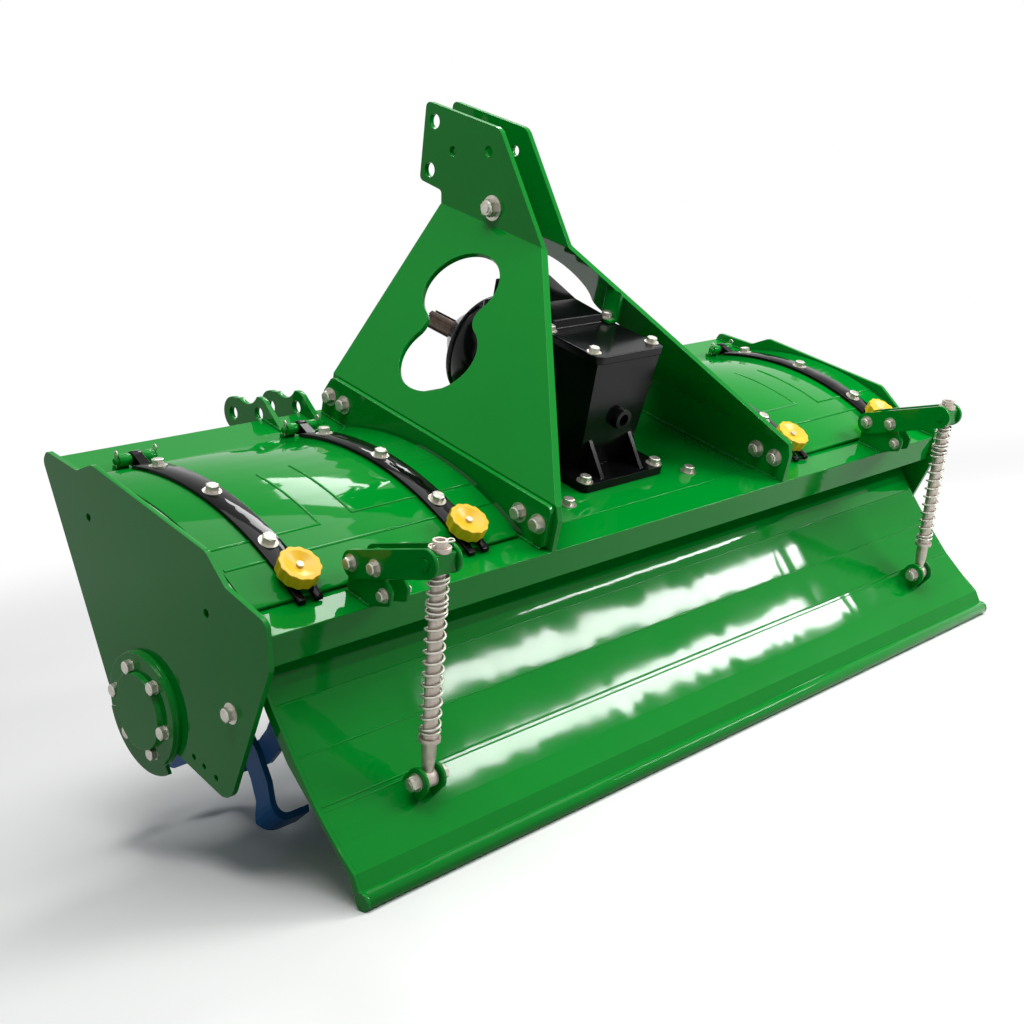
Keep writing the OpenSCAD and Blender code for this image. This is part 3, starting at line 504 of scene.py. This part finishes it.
lug_nuts = [((-ROD_X - LUG_HALF, *ROD_PIN), LEFT, 18), ((-ROD_X + LUG_HALF, *ROD_PIN), RIGHT, 18)]
fasten("lug_nuts", both_sides(lug_nuts), "tailboard", zinc_plate, washer=0.7, stud=0.3)

tine_bolts = []
for f in range(FLANGES):
    flange_x = FIRST_FLANGE_X + f * (LAST_FLANGE_X - FIRST_FLANGE_X) / (FLANGES - 1)
    for i in range(TINES):
        angle = math.radians(TINE_START + 360 * i / TINES + FLANGE_TURN * f)
        side = -1 if i % 2 == 0 or f == FLANGES - 1 else 1
        for radius in TINE_BOLT_RS:
            place = (TINE_ASIDE * math.cos(angle) - radius * math.sin(angle),
                     TINE_ASIDE * math.sin(angle) + radius * math.cos(angle))
            tine_bolts.append(((flange_x + side * TINE_FACE, *place), (side, 0, 0), 17))
            tine_bolts.append(((flange_x - side * FLANGE_FACE_X, *place), (-side, 0, 0), 17))
fasten("tine_bolts", both_sides(tine_bolts), "rotor", blue_enamel, washer=0.62, stud=0.3)

# %% [markdown]
# The springs are plain wire wound round the rods. Each rod carries a short spring above a long one, and each spring
# ends in flat coils. A list of points makes the path, and a tree sweeps a round wire along it. The real springs
# shorten when the tailboard lifts; here each one rides whole on its rod.

# %% Tree for round wire
wire_tree, wire_in, wire_out = new_tree("round_wire", {"Wire": "Float", "Material": "Material"})
path = add(wire_tree, "GeometryNodeMeshToCurve", {"Mesh": wire_in.outputs["Geometry"]})
ring = add(wire_tree, "GeometryNodeCurvePrimitiveCircle", {"Resolution": 10, "Radius": wire_in.outputs["Wire"]})
swept = add(wire_tree, "GeometryNodeCurveToMesh", {"Curve": path.outputs[0], "Profile Curve": ring.outputs["Curve"],
                                                   "Fill Caps": True})
smooth = add(wire_tree, "GeometryNodeSetShadeSmooth", {"Geometry": swept.outputs[0]})
real = add(wire_tree, "GeometryNodeRealizeInstances", {"Geometry": smooth.outputs[0]})
plate = add(wire_tree, "GeometryNodeSetMaterial", {"Geometry": real.outputs[0],
                                                   "Material": wire_in.outputs["Material"]})
wire_tree.links.new(plate.outputs[0], wire_out.inputs["Geometry"])


def polyline(name, *runs):
    mesh = bpy.data.meshes.new(name)
    points, edges = [], []
    for run in runs:
        edges += [(len(points) + i, len(points) + i + 1) for i in range(len(run) - 1)]
        points += run
    mesh.from_pydata(points, edges, [])
    return mesh


print(wire_tree.name, "has", len(wire_tree.nodes), "nodes")

# %% How a spring climbs
WIRE_R = 1.75
COIL_R = 13.3
STEPS = 22  # points in one turn
END_TURNS = 1.4
END_PITCH = 2.1 * WIRE_R  # flat coils all but touch


def coil_heights(low, high, turns):
    """Heights along one spring: flat coils at both ends and an even pitch between them."""
    flat_rise = END_TURNS * END_PITCH
    pitch_rise = high - low - 2 * flat_rise
    total = turns + 2 * END_TURNS
    for i in range(int(total * STEPS) + 1):
        t = i / STEPS
        if t < END_TURNS:
            height = low + flat_rise * t / END_TURNS
        elif t < END_TURNS + turns:
            height = low + flat_rise + pitch_rise * (t - END_TURNS) / turns
        else:
            height = high - flat_rise * (total - t) / END_TURNS
        yield t, height


print("flat coils rise", END_PITCH, "mm a turn")

# %% Springs on the rods
LONG_SHARE = 0.8  # how much of the rod the long spring takes
LONG_TURNS, SHORT_TURNS = 10.5, 2.6

for side in ("left", "right"):
    slide = joints["rod_" + side + "_slide"]
    along = Vector(slide["axis"]).normalized()
    low_corner, high_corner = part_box("spring_" + side)
    middle = (low_corner + high_corner) / 2
    length = (high_corner - low_corner).z / along.z - 2 * COIL_R * MM * abs(along.y) / along.z
    across = Vector((1, 0, 0))
    third = along.cross(across)
    seat = middle - along * length / 2
    low, high = WIRE_R, length / MM - WIRE_R
    join = low + LONG_SHARE * (high - low)
    runs = []
    for start, end, turns in ((low, join - WIRE_R, LONG_TURNS), (join + WIRE_R, high, SHORT_TURNS)):
        run = []
        for t, height in coil_heights(start, end, turns):
            arm = across * math.cos(math.tau * t) + third * math.sin(math.tau * t)
            run.append(seat + MM * (along * height + COIL_R * arm))
        runs.append(run)
    spring = grow("wire_spring_" + side, polyline("spring_path_" + side, *runs), wire_tree,
                  {"Wire": WIRE_R * MM, "Material": zinc_plate}, "rod_" + side)
    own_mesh(spring)
    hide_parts("spring_" + side)

# %% [markdown]
# Sheet that is folded or pressed shows a line along each bend. A thin bead, let into the sheet for most of its depth,
# gives the covers and the tailboard those lines, and the wire tree draws them. A cover has two pressed corners with
# a plain strip between them, and one line along its rear edge.

# %% Press lines of the covers
LINE_R = 3.0
LINE_SUNK = 1.2
OUTER_X, INNER_END_X, REAR_Y = -783, -312, -121
OUTER_CORNER, INNER_CORNER = (-602, -81), (-539, -73)
CORNER_STEPS = range(15, 151, 15)  # the line climbs the cover in these steps, mm


def cover_line(*places):
    line = []
    for x, y in places:
        z, out = on_cover(y, COVER_R - LINE_SUNK)
        line.append((x, y, z))
    return line


def pressed_corner(end_x, corner):
    x, y = corner
    return cover_line((end_x, y), corner, *[(x, y + step) for step in CORNER_STEPS])


def draw(name, lines, radius, material, body):
    runs = [[at(*place) for place in line] for line in lines]
    grow(name, polyline(name, *runs), wire_tree, {"Wire": radius * MM, "Material": material}, body)


cover_lines = [pressed_corner(OUTER_X, OUTER_CORNER), pressed_corner(INNER_END_X, INNER_CORNER),
               cover_line((OUTER_X, REAR_Y), (INNER_END_X, REAR_Y))]
mirror_lines = [[(-x, y, z) for x, y, z in line] for line in cover_lines]
draw("press_lines_left", cover_lines, LINE_R, green_enamel, "cover_left")
draw("press_lines_right", mirror_lines, LINE_R, green_enamel, "cover_right")

# %% Press lines of the tailboard
TAIL_LINE_R = 2.0
TAIL_PROUD = 0.8
TAIL_BENDS = [(-237.1, 132.0), (-292.6, 86.6), (-348.3, 46.2), (-354.0, 42.1)]  # y and z
TAIL_OUT = (-0.633, 0.774)  # the way the sheet faces
TAIL_HALF = 766.0
tail_lines = [[(side * TAIL_HALF, y + TAIL_PROUD * TAIL_OUT[0], z + TAIL_PROUD * TAIL_OUT[1]) for side in (-1, 1)]
              for y, z in TAIL_BENDS]
draw("press_lines_tail", tail_lines, TAIL_LINE_R, green_enamel, "tailboard")

# %% [markdown]
# Plates are joined by fillet welds. A bead is a row of small overlapping drops of uneven size, which is how a hand
# weld looks up close, and the same paint covers it.

# %% Tree for weld beads
DROP_R, DROP_PITCH = 3, 4
SMALLEST, LARGEST, WELDER_SEED = 0.8, 1.15, 7
weld_tree, weld_in, weld_out = new_tree("weld_bead", {"Drop": "Float", "Pitch": "Float", "Material": "Material"})
seam = add(weld_tree, "GeometryNodeMeshToCurve", {"Mesh": weld_in.outputs["Geometry"]})
steps = add(weld_tree, "GeometryNodeResampleCurve", {"Curve": seam.outputs[0], "Length": weld_in.outputs["Pitch"]},
            mode="LENGTH")
drop = add(weld_tree, "GeometryNodeMeshUVSphere", {"Segments": 8, "Rings": 5, "Radius": weld_in.outputs["Drop"]})
uneven = add(weld_tree, "FunctionNodeRandomValue", {2: SMALLEST, 3: LARGEST, "Seed": WELDER_SEED},
             data_type="FLOAT")
row = add(weld_tree, "GeometryNodeInstanceOnPoints", {"Points": steps.outputs[0], "Instance": drop.outputs["Mesh"],
                                                      "Scale": uneven.outputs[1]})
bead = add(weld_tree, "GeometryNodeRealizeInstances", {"Geometry": row.outputs[0]})
round_bead = add(weld_tree, "GeometryNodeSetShadeSmooth", {"Geometry": bead.outputs[0]})
painted = add(weld_tree, "GeometryNodeSetMaterial", {"Geometry": round_bead.outputs[0],
                                                     "Material": weld_in.outputs["Material"]})
weld_tree.links.new(painted.outputs[0], weld_out.inputs["Geometry"])
print(weld_tree.name, "has", len(weld_tree.nodes), "nodes")

# %% Where the plates are welded
LINK_X, LINK_HALF = 372.0, 43.0
BRACKET_HALF = 18
WELD_Z = DECK_Z + 1


def seam_along(x, start, end):
    """A seam on the deck at this x, from one y to another."""
    return [(x, start, WELD_Z), (x, end, WELD_Z)]


seams = [seam_along(-RIB_OUT - 1, -226, 300), seam_along(-RIB_IN + 1, -226, 296),
         seam_along(-INNER_X + 1, -238, -184), seam_along(-INNER_X + 1, 238, 310)]
for side in (-1, 1):
    seams.append(seam_along(-LINK_X + side * LINK_HALF, 266, 312))
    seams.append(seam_along(-ROD_X + side * BRACKET_HALF, -194, -238))
seams += [[(-x, y, z) for x, y, z in line] for line in seams]
grow("frame_welds", polyline("frame_welds", *[[at(*place) for place in line] for line in seams]), weld_tree,
     {"Drop": DROP_R * MM, "Pitch": DROP_PITCH * MM, "Material": green_enamel}, "frame")

# %% [markdown]
# Split pins of soft wire hold the hinge pins of the covers and the top of each rod. In each clamp knob, the end of
# its stud shows in the dish of the knob. The wire tree draws them all.

# %% Split pins of the hinges
PIN_R = 1.2
LEG_GAP, LEG_TIPS = 0.8, (2, -3)
EYE_R = 4
EYE_ANGLES = (1.0, 2.1, 3.14, 4.2, 5.3)
HINGE, HINGE_HALF, HINGE_PIN_L = (235.0, 266.0), 32, 16
ROD_TOP, ROD_PIN_L = (-331.6, 383.3), 30


def split_pin(place, legs, across, length):
    """Two legs through a hole, apart at their tips, with the eye of the pin at the other end."""
    outline = [(-length / 2, LEG_TIPS[0]), (0, LEG_GAP)]
    outline += [(length / 2 + EYE_R - EYE_R * math.cos(a), EYE_R * math.sin(a)) for a in EYE_ANGLES]
    outline += [(0, -LEG_GAP), (-length / 2, LEG_TIPS[1])]
    return [tuple(Vector(place) + Vector(legs) * u + Vector(across) * v) for u, v in outline]


hinge_pins = [split_pin((side * (x + end), *HINGE), (0, 0, 1), (0, 1, 0), HINGE_PIN_L)
              for x in STRAP_XS for end in (-HINGE_HALF, HINGE_HALF) for side in (-1, 1)]
draw("hinge_split_pins", hinge_pins, PIN_R, zinc_plate, "frame")

# %% Split pins of the rods and studs of the knobs
STUD_R, STUD_H = 5.0, 5.0
KNOB_Y = -161
for side, name in ((-1, "left"), (1, "right")):
    rod_pin = split_pin((side * ROD_X, *ROD_TOP), (1, 0, 0), (0, 1, 0), ROD_PIN_L)
    draw("rod_split_pin_" + name, [rod_pin], PIN_R, zinc_plate, "rod_" + name)
    studs = []
    for x in STRAP_XS:
        z, out = on_cover(KNOB_Y, STRAP_TOP_R)
        foot = Vector((side * x, KNOB_Y, z)) + Vector(out) * (KNOB_DISH_R - STRAP_TOP_R - 1)
        studs.append([tuple(foot), tuple(foot + Vector(out) * STUD_H)])
    draw("knob_studs_" + name, studs, STUD_R, zinc_plate, "cover_" + name)

# %% [markdown]
# The studio is a wide pale floor that carries the shadow. Far from the machine the floor fades into the white of the
# background. Only the camera and mirror images see that white, so it adds no light of its own.

# %% Floor
FLOOR_HALF = 120.0
FADE_FROM, FADE_TO = 1.2, 3.6  # metres from the middle
FLOOR_BOUNCE, FLOOR_SEEN = "#a0a0a0", "#f8f8f7"  # what light meets, and what is seen
WHITE = linear("#ffffff")


def seen_directly(tree):
    path = add(tree, "ShaderNodeLightPath").outputs
    first = add(tree, "ShaderNodeMath", {0: path["Is Camera Ray"], 1: path["Is Glossy Ray"]}, operation="MAXIMUM")
    return add(tree, "ShaderNodeMath", {0: first.outputs[0], 1: path["Is Transmission Ray"]},
               operation="MAXIMUM").outputs[0]


floor_mesh = bpy.data.meshes.new("floor")
floor_mesh.from_pydata([(x * FLOOR_HALF, y * FLOOR_HALF, 0) for x, y in ((-1, -1), (1, -1), (1, 1), (-1, 1))],
                       [], [(0, 1, 2, 3)])
floor = bpy.data.objects.new("floor", floor_mesh)
bpy.context.scene.collection.objects.link(floor)
pale, pale_tree, pale_shader, pale_place = finish_named("pale_floor")
direct = seen_directly(pale_tree)
tint = add(pale_tree, "ShaderNodeMix", {"Factor": direct, "A": linear(FLOOR_BOUNCE), "B": linear(FLOOR_SEEN)},
           data_type="RGBA")
pale_tree.links.new(tint.outputs["Result"], pale_shader.inputs["Base Color"])
pale_shader.inputs["Roughness"].default_value = 0.9
pale_shader.inputs["Specular IOR Level"].default_value = 0.1
reach = add(pale_tree, "ShaderNodeVectorMath", {0: pale_place}, operation="LENGTH")
fade = add(pale_tree, "ShaderNodeMapRange", {"Value": reach.outputs["Value"], "From Min": FADE_FROM,
                                             "From Max": FADE_TO}, interpolation_type="SMOOTHSTEP")
share = add(pale_tree, "ShaderNodeMath", {0: fade.outputs["Result"], 1: direct}, operation="MULTIPLY")
paper = add(pale_tree, "ShaderNodeEmission", {"Color": WHITE, "Strength": 1.0})
ground = add(pale_tree, "ShaderNodeMixShader", {0: share.outputs[0], 1: pale_shader.outputs[0],
                                                2: paper.outputs[0]})
pale_tree.links.new(ground.outputs[0], pale_tree.nodes["Material Output"].inputs["Surface"])
floor_mesh.materials.append(pale)
floor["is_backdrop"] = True
print("the floor fades to white from", FADE_FROM, "to", FADE_TO, "m")

# %% [markdown]
# Light comes from a wide soft ceiling and a small window on the left. Gloss needs something to mirror: a panel at the
# front right shows on the crown of the left cover, and two long narrow strips show as the two bright bands of the
# tailboard. Their places were found by reflecting the camera's view in those sheets. The sky gives a little light
# from all sides.

# %% Lamps


def lamp(name, place, target, size, power, along=(1, 0, 0)):
    light = bpy.data.lights.new(name, "AREA")
    light.shape = "RECTANGLE"
    light.size, light.size_y = size
    light.energy = power
    thing = bpy.data.objects.new(name, light)
    bpy.context.scene.collection.objects.link(thing)
    back = (Vector(place) - Vector(target)).normalized()
    side = (Vector(along) - back * back.dot(along)).normalized()
    thing.matrix_world = Matrix.Translation(place) @ Matrix((side, back.cross(side), back)).transposed().to_4x4()
    print(name, "gives", power, "W")


lamp("ceiling", (0.2, -0.8, 3.6), (0.0, -0.1, 0.4), (3.4, 2.6), 84)
lamp("cover_panel", (2.1, 1.45, 3.5), (-0.5, -0.05, 0.5), (1.1, 1.3), 50)
lamp("upper_strip", (2.0, -1.65, 1.74), (-0.055, 0.012, 0.32), (1.6, 0.1), 30, along=(1.105, 0.685, -0.805))
lamp("lower_strip", (1.975, -1.98, 1.39), (-0.08, -0.318, -0.03), (1.38, 0.085), 22, along=(1.1, 0.865, -0.585))
lamp("left_window", (-1.3, -0.9, 3.3), (-0.1, 0, 0.6), (1.0, 1.0), 26)

# %% Surroundings
SKY_COLOUR, SKY_STRENGTH = "#e8ecef", 0.18
world = bpy.data.worlds.new("studio")
bpy.context.scene.world = world
world.use_nodes = True
sky = world.node_tree
soft = add(sky, "ShaderNodeBackground", {"Color": linear(SKY_COLOUR), "Strength": SKY_STRENGTH})
white = add(sky, "ShaderNodeBackground", {"Color": WHITE, "Strength": 1.0})
both = add(sky, "ShaderNodeMixShader", {0: seen_directly(sky), 1: soft.outputs[0], 2: white.outputs[0]})
sky.links.new(both.outputs[0], sky.nodes["World Output"].inputs["Surface"])
bpy.context.scene.view_settings.view_transform = "Standard"
print("the sky gives light of strength", SKY_STRENGTH)

# %% [markdown]
# What was added should not make the machine larger; the box of everything shown, floor aside, is worked out here.

# %% Sizes
low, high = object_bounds()
